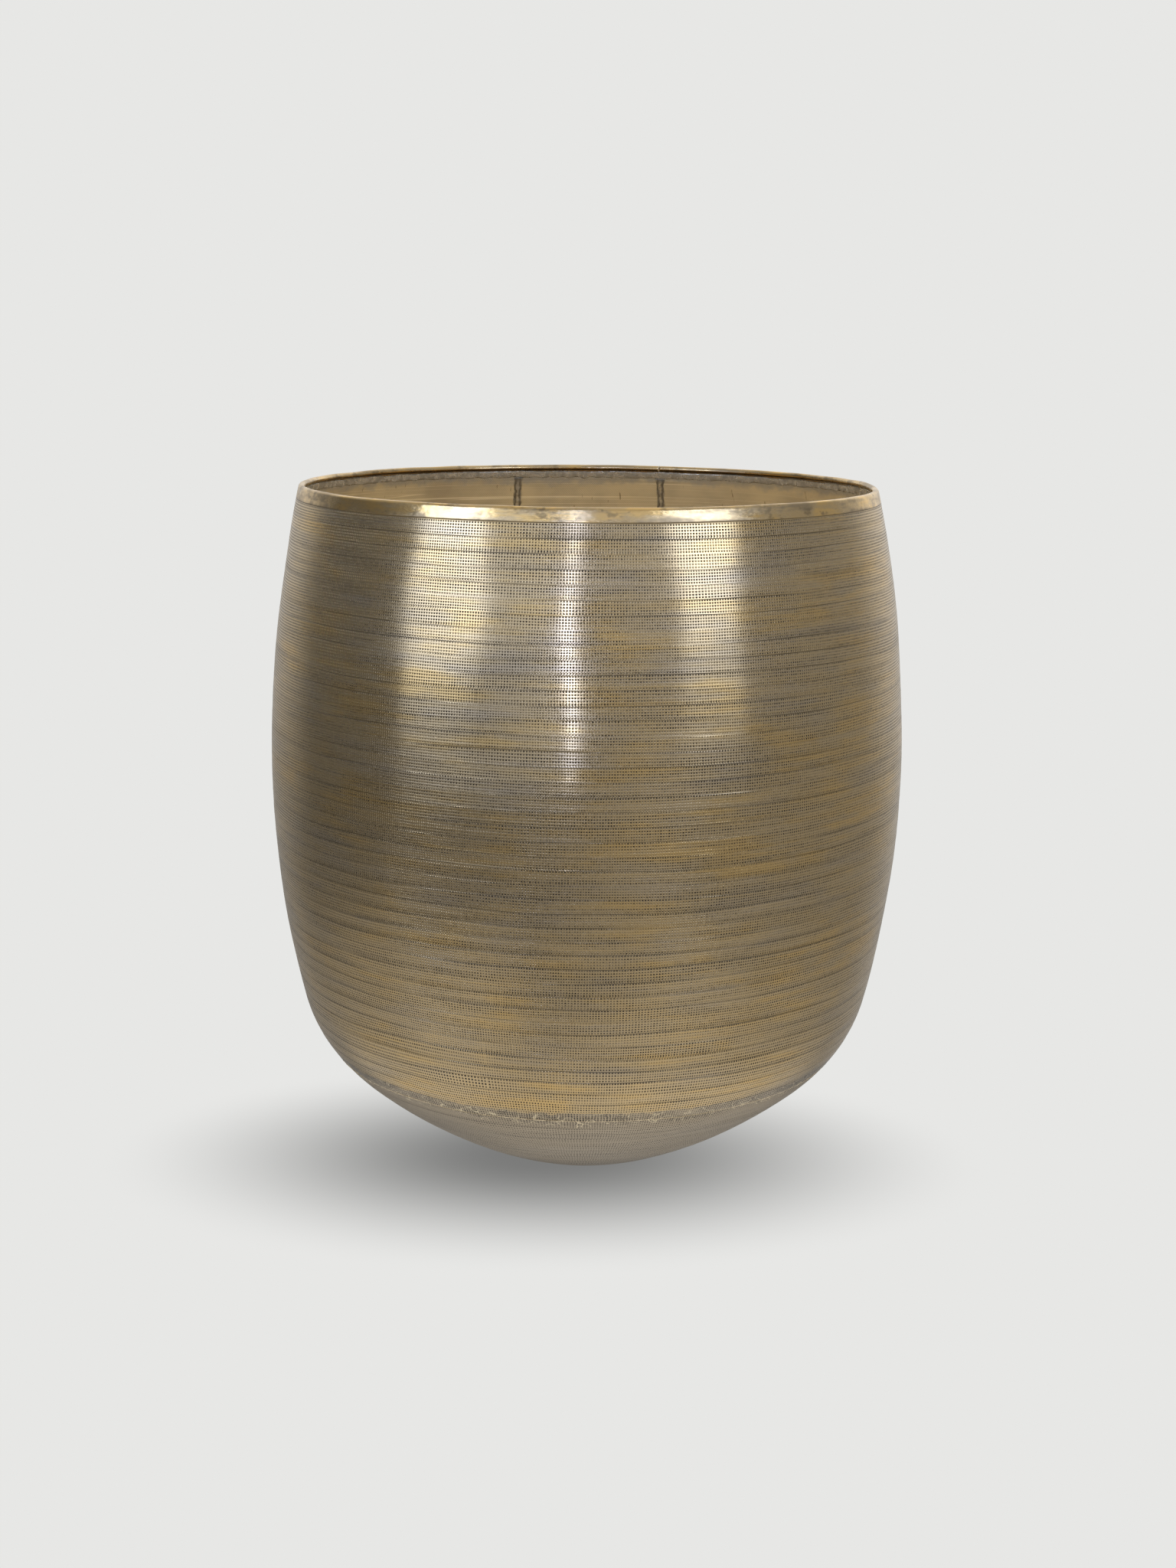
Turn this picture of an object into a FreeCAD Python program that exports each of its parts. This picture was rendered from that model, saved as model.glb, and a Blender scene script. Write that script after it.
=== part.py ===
"""Large brass planter pot: a spun and rolled sheet vessel with a wired rim.

Frame: +Z up along the pot's own axis, origin at the middle of the flat that it stands on, front towards -Y.
Every piece is a body turned about Z.  Its section is drawn on the outline of the pot, which is five
tangent arcs: foot, bowl, haunch, lower wall and upper wall, from the ground to the mouth.
"""
import FreeCAD, Part
import Sketcher
import math
import os

# alias: (millimetres or degrees, what it is)
DIMENSIONS = {
    "total_height": (432, "ground to the top of the bead"),
    "widest_radius": (200, "outside radius at the belly"),
    "upper_arc_radius": (790, "outline from the belly up to the rim"),
    "lower_arc_radius": (600, "outline from the belly down to the haunch"),
    "haunch_arc_radius": (100, "outline round the haunch"),
    "bowl_arc_radius": (320, "outline of the bottom bowl"),
    "foot_arc_radius": (40, "blend from the bowl into the standing flat"),
    "lower_slope": (14, "degrees from upright where lower wall meets haunch"),
    "haunch_slope": (49, "degrees from upright where haunch meets bowl"),
    "bowl_slope": (68, "degrees from upright where bowl meets foot blend"),
    "joint_slope": (38, "degrees from upright where the wall sheets meet the bowl"),
    "sheet_thickness": (1.0, "brass sheet, all round"),
    "seam_half_angle": (16, "degrees from the back to each upright seam"),
    "seam_gap_angle": (0.2, "degrees of open butt gap at an upright seam"),
    "seam_cover_angle": (1.4, "degrees covered by braze on the inside of a seam"),
    "joint_gap_angle": (0.3, "degrees along the haunch arc left open at the bowl joint"),
    "joint_cover_angle": (3.4, "degrees along the haunch arc covered by braze inside"),
    "cover_thickness": (0.4, "height of the braze above the sheet inside"),
    "band_height": (8.5, "top of the bead down to the lower edge of the smooth band"),
    "bead_diameter": (4.0, "outside of the rolled bead"),
    "wire_diameter": (2.0, "wire inside the bead"),
    "curl_turn": (270, "degrees that the band wraps round the wire"),
    "rim_joint_angle": (0.3, "degrees of butt joint in the band, filled with braze"),
    "solder_low": (11.5, "top of the bead down to the lower edge of the solder run"),
    "solder_high": (4.4, "top of the bead down to the upper edge of the solder run"),
    "solder_thickness": (0.5, "height of the solder above the sheet inside"),
}

# Directions of the pieces round the axis, in degrees from +X.
FRONT = -90
BACK = 90

doc = FreeCAD.newDocument("planter_pot")
dims = doc.addObject("Spreadsheet::Sheet", "dims")
for row, (alias, (value, note)) in enumerate(DIMENSIONS.items(), start=1):
    dims.set(f"A{row}", alias)
    dims.set(f"B{row}", str(value))
    dims.setAlias(f"B{row}", alias)
    dims.set(f"C{row}", note)
doc.recompute()


def number(expression):
    """Value of an expression of sheet cells."""
    return float(dims.evalExpression(expression))


# --- the outline ------------------------------------------------------------------------------------

# Height of the belly: the arcs below it, stacked from the ground.
BELLY_HEIGHT = (
    "(dims.foot_arc_radius * (1 - sin(dims.bowl_slope))"
    " + dims.bowl_arc_radius * (sin(dims.bowl_slope) - sin(dims.haunch_slope))"
    " + dims.haunch_arc_radius * (sin(dims.haunch_slope) - sin(dims.lower_slope))"
    " + dims.lower_arc_radius * sin(dims.lower_slope))"
)


def next_centre(centre, old_arc, new_arc, slope):
    """Centre of the arc that goes on below another, tangent to it at that slope from upright."""
    step = f"(dims.{old_arc}_arc_radius - dims.{new_arc}_arc_radius)"
    return (f"({centre[0]} + {step} * cos(dims.{slope}))", f"({centre[1]} - {step} * sin(dims.{slope}))")


CENTRES = {"upper": ("(dims.widest_radius - dims.upper_arc_radius)", BELLY_HEIGHT),
           "lower": ("(dims.widest_radius - dims.lower_arc_radius)", BELLY_HEIGHT)}
CENTRES["haunch"] = next_centre(CENTRES["lower"], "lower", "haunch", "lower_slope")
CENTRES["bowl"] = next_centre(CENTRES["haunch"], "haunch", "bowl", "haunch_slope")
CENTRES["foot"] = next_centre(CENTRES["bowl"], "bowl", "foot", "bowl_slope")


def angle_below_top(depth):
    """Angle on the upper arc of the outline at a depth below the top of the pot."""
    return f"asin((dims.total_height - {depth} - {BELLY_HEIGHT}) / dims.upper_arc_radius)"


BEAD_RADIUS = "(dims.bead_diameter / 2)"
# The bead touches the outline from inside where its own top reaches the full height.
BEAD_ANGLE = (f"asin((dims.total_height - {BEAD_RADIUS} - {BELLY_HEIGHT})"
              f" / (dims.upper_arc_radius - {BEAD_RADIUS}))")
BEAD_ARM = f"(dims.upper_arc_radius - {BEAD_RADIUS})"
BEAD_CENTRE = (f"({CENTRES['upper'][0]} + {BEAD_ARM} * cos({BEAD_ANGLE}))",
               f"({CENTRES['upper'][1]} + {BEAD_ARM} * sin({BEAD_ANGLE}))")
WALL_TOP = angle_below_top("dims.band_height")
SOLDER_LOW = angle_below_top("dims.solder_low")
SOLDER_HIGH = angle_below_top("dims.solder_high")
JOINT_ABOVE = "(-dims.joint_slope + dims.joint_gap_angle / 2)"
JOINT_BELOW = "(-dims.joint_slope - dims.joint_gap_angle / 2)"
COVER_ABOVE = "(-dims.joint_slope + dims.joint_cover_angle / 2)"
COVER_BELOW = "(-dims.joint_slope - dims.joint_cover_angle / 2)"

# Stretches of the outline, each (arc, lower angle, upper angle), from the ground up.
WALL = [("haunch", JOINT_ABOVE, "(-dims.lower_slope)"), ("lower", "(-dims.lower_slope)", "0"),
        ("upper", "0", WALL_TOP)]
SEAM_COVER = [("haunch", COVER_ABOVE, "(-dims.lower_slope)"), ("lower", "(-dims.lower_slope)", "0"),
              ("upper", "0", SOLDER_LOW)]
BOWL = [("foot", "(-90)", "(-dims.bowl_slope)"), ("bowl", "(-dims.bowl_slope)", "(-dims.haunch_slope)"),
        ("haunch", "(-dims.haunch_slope)", JOINT_BELOW)]
JOINT_FILL = [("haunch", JOINT_BELOW, JOINT_ABOVE)]
JOINT_COVER = [("haunch", COVER_BELOW, COVER_ABOVE)]
BAND_LEG = [("upper", WALL_TOP, BEAD_ANGLE)]
SOLDER = [("upper", SOLDER_LOW, SOLDER_HIGH)]

# Offsets inward from the outline.
OUTSIDE = "0"
INSIDE = "dims.sheet_thickness"
COVER_TOP = "(dims.sheet_thickness + dims.cover_thickness)"
SOLDER_TOP = "(dims.sheet_thickness + dims.solder_thickness)"

# --- sketching --------------------------------------------------------------------------------------

START, END, CENTRE = 1, 2, 3      # points of a sketched edge
ORIGIN = (-1, 1)                  # the sketch's own origin, as (edge, point)
Z_AXIS = FreeCAD.Vector(0, 0, 1)


def make_body(label, direction):
    """Empty body turned to a direction round the axis."""
    body = doc.addObject("PartDesign::Body", label)
    body.Label = label
    body.Placement = FreeCAD.Placement(FreeCAD.Vector(), FreeCAD.Rotation(Z_AXIS, direction))
    return body


def make_sketch(body, name):
    """Sketch on the body's own upright plane, its x the radius and its y the height."""
    sketch = body.newObject("Sketcher::SketchObject", name)
    plane = next(item for item in body.Origin.OriginFeatures if item.Role == "XZ_Plane")
    sketch.AttachmentSupport = [(plane, "")]
    sketch.MapMode = "FlatFace"
    doc.recompute()
    return sketch


def bind(sketch, kind, references, expression):
    """Dimension whose value is an expression of sheet cells."""
    index = sketch.addConstraint(Sketcher.Constraint(kind, *references, number(expression)))
    sketch.setExpression(f"Constraints[{index}]", expression)


def place(sketch, kind, edge, point, expression):
    """Distance of a point from the origin along x or y, whichever side it lies on."""
    if number(expression) < 0:
        bind(sketch, kind, (edge, point, *ORIGIN), f"-({expression})")
    else:
        bind(sketch, kind, (*ORIGIN, edge, point), expression)


def join(sketch, first, first_point, second, second_point):
    sketch.addConstraint(Sketcher.Constraint("Coincident", first, first_point, second, second_point))


def add_arc(sketch, centre, radius, low, high):
    """Arc drawn at its true place, not yet constrained."""
    middle = FreeCAD.Vector(number(centre[0]), number(centre[1]), 0)
    circle = Part.Circle(middle, Z_AXIS, number(radius))
    limits = [math.radians(number(angle)) for angle in (low, high)]
    return sketch.addGeometry(Part.ArcOfCircle(circle, *limits))


def fix_end(sketch, edge, point, centre, radius, angle):
    """Place one end of an arc: by its height on the steep wall, by its radius on the shallow bottom."""
    if number(angle) < -45:
        place(sketch, "DistanceX", edge, point, f"{centre[0]} + {radius} * cos({angle})")
    else:
        place(sketch, "DistanceY", edge, point, f"{centre[1]} + {radius} * sin({angle})")


def draw_chain(sketch, stretches, offset):
    """Tangent arcs along the outline, moved inward by the offset.  Returns the edges, lowest first."""
    edges = []
    for arc, low, high in stretches:
        centre = CENTRES[arc]
        radius = f"(dims.{arc}_arc_radius - {offset})"
        edge = add_arc(sketch, centre, radius, low, high)
        if edges:
            sketch.addConstraint(Sketcher.Constraint("Tangent", edges[-1], END, edge, START))
        else:
            place(sketch, "DistanceX", edge, CENTRE, centre[0])
            place(sketch, "DistanceY", edge, CENTRE, centre[1])
            fix_end(sketch, edge, START, centre, radius, low)
        bind(sketch, "Radius", (edge,), radius)
        fix_end(sketch, edge, END, centre, radius, high)
        edges.append(edge)
    return edges


def add_line(sketch, first, first_point, second, second_point):
    """Straight edge between the ends of two others."""
    ends = (sketch.getPoint(first, first_point), sketch.getPoint(second, second_point))
    line = sketch.addGeometry(Part.LineSegment(*ends))
    join(sketch, line, START, first, first_point)
    join(sketch, line, END, second, second_point)
    return line


def draw_sheet(sketch, stretches, outer, inner):
    """Closed section between two offsets of the outline, cut square to the sheet at both ends."""
    outer_edges = draw_chain(sketch, stretches, outer)
    inner_edges = draw_chain(sketch, stretches, inner)
    add_line(sketch, outer_edges[0], START, inner_edges[0], START)
    add_line(sketch, outer_edges[-1], END, inner_edges[-1], END)


def draw_bowl(sketch):
    """Section of the bowl, which runs in along its standing flat to the axis."""
    outer_edges = draw_chain(sketch, BOWL, OUTSIDE)
    inner_edges = draw_chain(sketch, BOWL, INSIDE)
    add_line(sketch, outer_edges[-1], END, inner_edges[-1], END)
    flats = []
    for edge in (outer_edges[0], inner_edges[0]):
        rim = sketch.getPoint(edge, START)
        flat = sketch.addGeometry(Part.LineSegment(FreeCAD.Vector(0, rim.y, 0), rim))
        join(sketch, flat, END, edge, START)
        sketch.addConstraint(Sketcher.Constraint("Horizontal", flat))
        sketch.addConstraint(Sketcher.Constraint("PointOnObject", flat, START, -2))
        flats.append(flat)
    add_line(sketch, flats[0], START, flats[1], START)


def draw_bead(sketch):
    """Section of the band where it wraps round the wire."""
    end_angle = f"({BEAD_ANGLE} + dims.curl_turn * 1 deg)"
    arcs = []
    for radius in (BEAD_RADIUS, "(dims.wire_diameter / 2)"):
        edge = add_arc(sketch, BEAD_CENTRE, radius, BEAD_ANGLE, end_angle)
        bind(sketch, "Radius", (edge,), radius)
        place(sketch, "DistanceX", edge, CENTRE, BEAD_CENTRE[0])
        place(sketch, "DistanceY", edge, CENTRE, BEAD_CENTRE[1])
        place(sketch, "DistanceY", edge, START, f"{BEAD_CENTRE[1]} + {radius} * sin({BEAD_ANGLE})")
        place(sketch, "DistanceX", edge, END, f"{BEAD_CENTRE[0]} + {radius} * cos({end_angle})")
        arcs.append(edge)
    for point in (START, END):
        add_line(sketch, arcs[0], point, arcs[1], point)


def turn(body, sketch, angle):
    """Turn a section about the axis, as far to one side of its plane as to the other."""
    feature = body.newObject("PartDesign::Revolution", sketch.Name + "_turned")
    feature.Profile = sketch
    feature.ReferenceAxis = (sketch, ["V_Axis"])
    feature.Midplane = True
    feature.setExpression("Angle", angle)
    doc.recompute()
    return feature


def turn_sheet(body, name, stretches, outer, inner, angle="360"):
    sketch = make_sketch(body, name)
    draw_sheet(sketch, stretches, outer, inner)
    turn(body, sketch, angle)


# --- the pieces -------------------------------------------------------------------------------------


def make_wall_sheet():
    """Main sheet, open at the back between the two upright seams."""
    body = make_body("wall_sheet", FRONT)
    turn_sheet(body, "wall_sheet_section", WALL, OUTSIDE, INSIDE,
               "360 - 2 * dims.seam_half_angle - dims.seam_gap_angle")
    return body


def make_wall_filler_strip():
    """Strip of the same sheet that closes the back."""
    body = make_body("wall_filler_strip", BACK)
    turn_sheet(body, "wall_filler_section", WALL, OUTSIDE, INSIDE,
               "2 * dims.seam_half_angle - dims.seam_gap_angle")
    return body


def make_seam_braze(label, direction):
    """Braze through an upright butt gap, and a low bead of it over the inside."""
    body = make_body(label, direction)
    turn_sheet(body, label + "_fill", WALL, OUTSIDE, INSIDE, "dims.seam_gap_angle")
    turn_sheet(body, label + "_cover", SEAM_COVER, INSIDE, COVER_TOP, "dims.seam_cover_angle")
    return body


def make_base_bowl():
    """Spun bottom with the flat that it stands on."""
    body = make_body("base_bowl", FRONT)
    sketch = make_sketch(body, "base_bowl_section")
    draw_bowl(sketch)
    turn(body, sketch, "360")
    return body


def make_base_seam_braze():
    """Ring of braze through the joint between wall and bowl, and over its inside."""
    body = make_body("base_seam_braze", FRONT)
    turn_sheet(body, "base_seam_fill", JOINT_FILL, OUTSIDE, INSIDE)
    turn_sheet(body, "base_seam_cover", JOINT_COVER, INSIDE, COVER_TOP)
    return body


def make_rim_piece(label, direction, angle):
    """Smooth band that goes on upward from the wall and wraps over the wire."""
    body = make_body(label, direction)
    turn_sheet(body, label + "_leg", BAND_LEG, OUTSIDE, INSIDE, angle)
    sketch = make_sketch(body, label + "_bead")
    draw_bead(sketch)
    turn(body, sketch, angle)
    return body


def make_rim_solder():
    """Run of solder inside, over the joint of band and wall and up to the bead."""
    body = make_body("rim_solder", FRONT)
    turn_sheet(body, "rim_solder_section", SOLDER, INSIDE, SOLDER_TOP)
    return body


def make_rim_wire():
    """Closed ring of wire in the bead."""
    wire = doc.addObject("Part::Torus", "rim_wire")
    wire.Label = "rim_wire"
    wire.setExpression("Radius1", BEAD_CENTRE[0])
    wire.setExpression("Radius2", "dims.wire_diameter / 2")
    wire.setExpression("Placement.Base.z", BEAD_CENTRE[1])
    return wire


SEAM_HALF_ANGLE = number("dims.seam_half_angle")
LEFT_SEAM = BACK + SEAM_HALF_ANGLE
RIGHT_SEAM = BACK - SEAM_HALF_ANGLE

pieces = [
    make_wall_sheet(),
    make_wall_filler_strip(),
    make_seam_braze("seam_braze_left", LEFT_SEAM),
    make_seam_braze("seam_braze_right", RIGHT_SEAM),
    make_base_bowl(),
    make_base_seam_braze(),
    make_rim_piece("rim_band", RIGHT_SEAM + 180, "360 - dims.rim_joint_angle"),
    make_rim_piece("rim_joint_braze", RIGHT_SEAM, "dims.rim_joint_angle"),
    make_rim_wire(),
    make_rim_solder(),
]
doc.recompute()

# --- checks and export ------------------------------------------------------------------------------

for item in doc.Objects:
    if "Invalid" in item.State or "Error" in item.State:
        raise RuntimeError(f"{item.Label} failed: {item.State}")
for piece in pieces:
    if piece.Shape.isNull() or not piece.Shape.isValid() or len(piece.Shape.Solids) != 1:
        raise RuntimeError(f"{piece.Label} is not one valid solid")

os.makedirs("parts", exist_ok=True)
for piece in pieces:
    piece.Shape.exportStep(f"parts/{piece.Label}.step")
    box = piece.Shape.BoundBox
    print(f"{piece.Label}: {piece.Shape.Volume:.1f} mm3, {box.XMin:.2f}..{box.XMax:.2f},"
          f" {box.YMin:.2f}..{box.YMax:.2f}, {box.ZMin:.2f}..{box.ZMax:.2f}")
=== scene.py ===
"""Looks of the brass planter pot: knurled sheet with patina, a smooth wired rim, brazed seams and a bowl."""

import math

import bpy
import numpy as np
from mathutils import Matrix, Vector


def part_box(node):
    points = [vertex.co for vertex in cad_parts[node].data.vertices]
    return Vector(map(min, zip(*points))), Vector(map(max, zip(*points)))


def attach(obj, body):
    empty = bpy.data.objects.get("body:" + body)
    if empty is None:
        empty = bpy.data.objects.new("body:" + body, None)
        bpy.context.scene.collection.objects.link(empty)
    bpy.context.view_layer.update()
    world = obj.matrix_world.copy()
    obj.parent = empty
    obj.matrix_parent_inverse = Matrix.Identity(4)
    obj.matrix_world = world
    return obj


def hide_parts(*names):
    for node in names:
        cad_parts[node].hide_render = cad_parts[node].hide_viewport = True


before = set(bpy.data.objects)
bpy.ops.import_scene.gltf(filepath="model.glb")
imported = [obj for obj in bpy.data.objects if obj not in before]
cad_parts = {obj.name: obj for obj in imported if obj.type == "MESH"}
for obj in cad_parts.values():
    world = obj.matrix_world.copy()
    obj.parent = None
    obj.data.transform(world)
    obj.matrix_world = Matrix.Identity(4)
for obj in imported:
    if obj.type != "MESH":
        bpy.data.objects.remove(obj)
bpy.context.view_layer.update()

MM = 0.001
TAU = 2 * math.pi

# --- fineness of the meshes ---------------------------------------------------------------------------

WALL_PIECES = 9          # sectors that the main sheet is cut into
WALL_COLUMNS = 60        # columns of one sector
STRIP_COLUMNS = 54
WALL_STEPS = 15          # rows of vertices to one roller pass
BOWL_STEPS = 10
BOWL_COLUMNS = 500
INNER_ROWS = 40
RIM_COLUMNS = 720
SOLDER_COLUMNS = 900
SEAM_ROWS = 420

# --- the pot's outline, in metres, as the CAD model draws it ------------------------------------------

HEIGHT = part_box("rim_band")[1].z
BELLY_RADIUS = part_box("wall_sheet")[1].x
WALL_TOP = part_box("wall_sheet")[1].z
SHEET = 1.0 * MM
BEAD_RADIUS = 2.0 * MM
# Arc radii from the rim to the ground, then the slopes from upright where the outline goes from lower wall
# to haunch, from haunch to bowl and from bowl to foot, and where the wall sheets end.
UPPER, LOWER, HAUNCH, BOWL, FOOT = 0.790, 0.600, 0.100, 0.320, 0.040
LOWER_SLOPE, HAUNCH_SLOPE, BOWL_SLOPE, JOINT_SLOPE = (math.radians(a) for a in (14, 49, 68, 38))
BELLY_HEIGHT = (FOOT * (1 - math.sin(BOWL_SLOPE)) + BOWL * (math.sin(BOWL_SLOPE) - math.sin(HAUNCH_SLOPE))
                + HAUNCH * (math.sin(HAUNCH_SLOPE) - math.sin(LOWER_SLOPE)) + LOWER * math.sin(LOWER_SLOPE))
BEAD_ANGLE = math.asin((HEIGHT - BEAD_RADIUS - BELLY_HEIGHT) / (UPPER - BEAD_RADIUS))
WALL_TOP_ANGLE = math.asin((WALL_TOP - BELLY_HEIGHT) / UPPER)


def make_arcs():
    """Arcs as (centre radius, centre height, arc radius, upper angle, lower angle, length before it)."""
    spans = [(UPPER, BEAD_ANGLE, 0.0), (LOWER, 0.0, -LOWER_SLOPE), (HAUNCH, -LOWER_SLOPE, -HAUNCH_SLOPE),
             (BOWL, -HAUNCH_SLOPE, -BOWL_SLOPE), (FOOT, -BOWL_SLOPE, -math.pi / 2)]
    centre = Vector((BELLY_RADIUS - UPPER, BELLY_HEIGHT))
    arcs, start, previous = [], -UPPER * (BEAD_ANGLE - WALL_TOP_ANGLE), UPPER
    for radius, high, low in spans:
        centre = centre + (previous - radius) * Vector((math.cos(high), math.sin(high)))
        arcs.append((centre.x, centre.y, radius, high, low, start))
        start += radius * (high - low)
        previous = radius
    return arcs


ARCS = make_arcs()
LENGTH_TO_JOINT = ARCS[2][5] + HAUNCH * (JOINT_SLOPE - LOWER_SLOPE)
LENGTH_TO_FLAT = ARCS[4][5] + FOOT * (math.pi / 2 - BOWL_SLOPE)
FLAT_RADIUS = ARCS[4][0]
HALF_JOINT_GAP = HAUNCH * math.radians(0.3) / 2


def outline(along, inward=0.0):
    """Radius, height and outward normal where the outline is `along` below the wall's top edge."""
    along = np.asarray(along, float)
    radius, height = np.empty_like(along), np.empty_like(along)
    normal_r, normal_z = np.empty_like(along), np.empty_like(along)
    for number, (centre_r, centre_z, arc, high, _, start) in enumerate(ARCS):
        here = along >= start if number else np.ones(along.shape, bool)
        angle = high - (along[here] - start) / arc
        normal_r[here], normal_z[here] = np.cos(angle), np.sin(angle)
        radius[here] = centre_r + arc * normal_r[here]
        height[here] = centre_z + arc * normal_z[here]
    flat = along > LENGTH_TO_FLAT
    radius[flat] = FLAT_RADIUS - (along[flat] - LENGTH_TO_FLAT)
    height[flat], normal_r[flat], normal_z[flat] = 0.0, 0.0, -1.0
    return radius - inward * normal_r, height - inward * normal_z, normal_r, normal_z


# --- small tools --------------------------------------------------------------------------------------


def ripple(random, angle, lowest, highest):
    """Smooth random wave round the pot, about 1 high, with that range of waves a turn."""
    counts = np.arange(lowest, highest + 1)
    size = random.normal(size=len(counts)) / math.sqrt(len(counts))
    phase = random.uniform(0, TAU, len(counts))
    return sum(a * np.cos(n * angle + p) for a, n, p in zip(size * math.sqrt(2), counts, phase))


MEAN_RADIUS = 0.19       # of the whole pot, to turn lengths round it into angles


class Dents:
    """Shallow unevenness of hand-rolled sheet, as many crossed waves over the whole pot."""

    def __init__(self, seed, size, shortest, longest, waves=28):
        random = np.random.default_rng(seed)
        self.size = size / math.sqrt(waves)
        length = random.uniform(shortest, longest, waves)
        lean = random.uniform(0, math.pi, waves)
        self.around = np.round(TAU * MEAN_RADIUS / length * np.cos(lean))
        self.down = TAU / length * np.sin(lean)
        self.phase = random.uniform(0, TAU, waves)

    def at(self, angle, along):
        """How deep the sheet is dented there."""
        return self.size * math.sqrt(2) * sum(
            np.cos(n * angle + k * along + p) for n, k, p in zip(self.around, self.down, self.phase))


def turned(angle, radius, height):
    """Points at those angles from +X, radii and heights."""
    return np.stack(np.broadcast_arrays(radius * np.cos(angle), radius * np.sin(angle), height), -1)


def grid_normals(points):
    """Unit normals of a grid of points, rows down the pot and columns round it."""
    down = np.gradient(points, axis=0)
    round_ = np.gradient(points, axis=1)
    normal = np.cross(down, round_)
    return normal / np.linalg.norm(normal, axis=-1, keepdims=True)


def make_mesh(name, points, quads, caps=(), normals=None, uv=None, slots=None, materials=()):
    """Mesh object from numpy arrays: quads first, then any polygons with more corners."""
    mesh = bpy.data.meshes.new(name)
    loops = np.concatenate([quads.reshape(-1), *caps]).astype(np.int32)
    sizes = np.concatenate([np.full(len(quads), 4), [len(cap) for cap in caps]]).astype(np.int32)
    mesh.vertices.add(len(points))
    mesh.vertices.foreach_set("co", points.astype(np.float32).reshape(-1))
    mesh.loops.add(len(loops))
    mesh.loops.foreach_set("vertex_index", loops)
    mesh.polygons.add(len(sizes))
    mesh.polygons.foreach_set("loop_start", (np.cumsum(sizes) - sizes).astype(np.int32))
    if slots is not None:
        mesh.polygons.foreach_set("material_index", slots.astype(np.int32))
    mesh.update(calc_edges=True)
    mesh.polygons.foreach_set("use_smooth", np.ones(len(sizes), bool))
    if uv is not None:
        layer = mesh.uv_layers.new(name="knurl")
        layer.uv.foreach_set("vector", uv.astype(np.float32).reshape(-1))
    if normals is not None:
        mesh.normals_split_custom_set_from_vertices(normals.tolist())
    for material in materials:
        mesh.materials.append(material)
    piece = bpy.data.objects.new(name, mesh)
    bpy.context.scene.collection.objects.link(piece)
    return piece


def sweep(name, loop, materials, closed=False, outer_rows=0, centre_caps=False, uv=None, point_uv=None):
    """Solid whose section is a loop of rows, swept along its columns, with one spare column at either side.

    The first `outer_rows` rows are the outside, the first material; the others are the inside.
    With `centre_caps`, the outside and the inside each end in a disc instead of meeting.
    `uv` has a pair for each corner of the outside's faces, and `point_uv` one for each point of the loop.
    """
    rows, columns = loop.shape[0], loop.shape[1] - 2
    points = loop[:, 1:-1]
    normals = None
    if outer_rows:
        normals = np.concatenate([grid_normals(loop[:outer_rows]), grid_normals(loop[outer_rows:])])
        normals = normals[:, 1:-1].reshape(-1, 3)
    wide = columns if closed else columns - 1
    row_list = np.array([i for i in range(rows) if not (centre_caps and i == outer_rows - 1)])
    i, j = np.meshgrid(row_list, np.arange(wide), indexing="ij")
    below, beside = (i + 1) % rows * columns, (j + 1) % columns
    quads = np.stack([i * columns + j, below + j, below + beside, i * columns + beside], -1).reshape(-1, 4)
    caps = []
    if centre_caps:
        round_ = np.arange(columns)
        caps = [(outer_rows - 1) * columns + round_[::-1], outer_rows * columns + round_]
    elif not closed:
        caps = [np.arange(rows)[::-1] * columns, np.arange(rows) * columns + columns - 1]
    corners = len(quads) * 4 + sum(len(cap) for cap in caps)
    if point_uv is not None:
        flat = point_uv[:, 1:-1].reshape(-1, 2)
        uv = np.concatenate([flat[quads.reshape(-1)], *[flat[cap] for cap in caps]])
    elif uv is not None:
        uv = np.concatenate([uv.reshape(-1, 2), np.zeros((corners - len(uv) * 4, 2))])
    slots = np.concatenate([(i.reshape(-1) >= outer_rows - 1) * 1, np.ones(len(caps))]) * (len(materials) > 1)
    return make_mesh(name, points.reshape(-1, 3), quads, caps, normals, uv, slots, materials)


def add_piece(piece, node):
    """Let a piece stand for a CAD node."""
    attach(piece, "root")
    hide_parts(node)


def with_spares(first, last, columns, closed=False):
    """Even angles between two others, with a spare one on either side."""
    step = (last - first) / columns
    return first + step * np.arange(-1, columns + 1 + (not closed))


# --- materials ----------------------------------------------------------------------------------------


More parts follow.
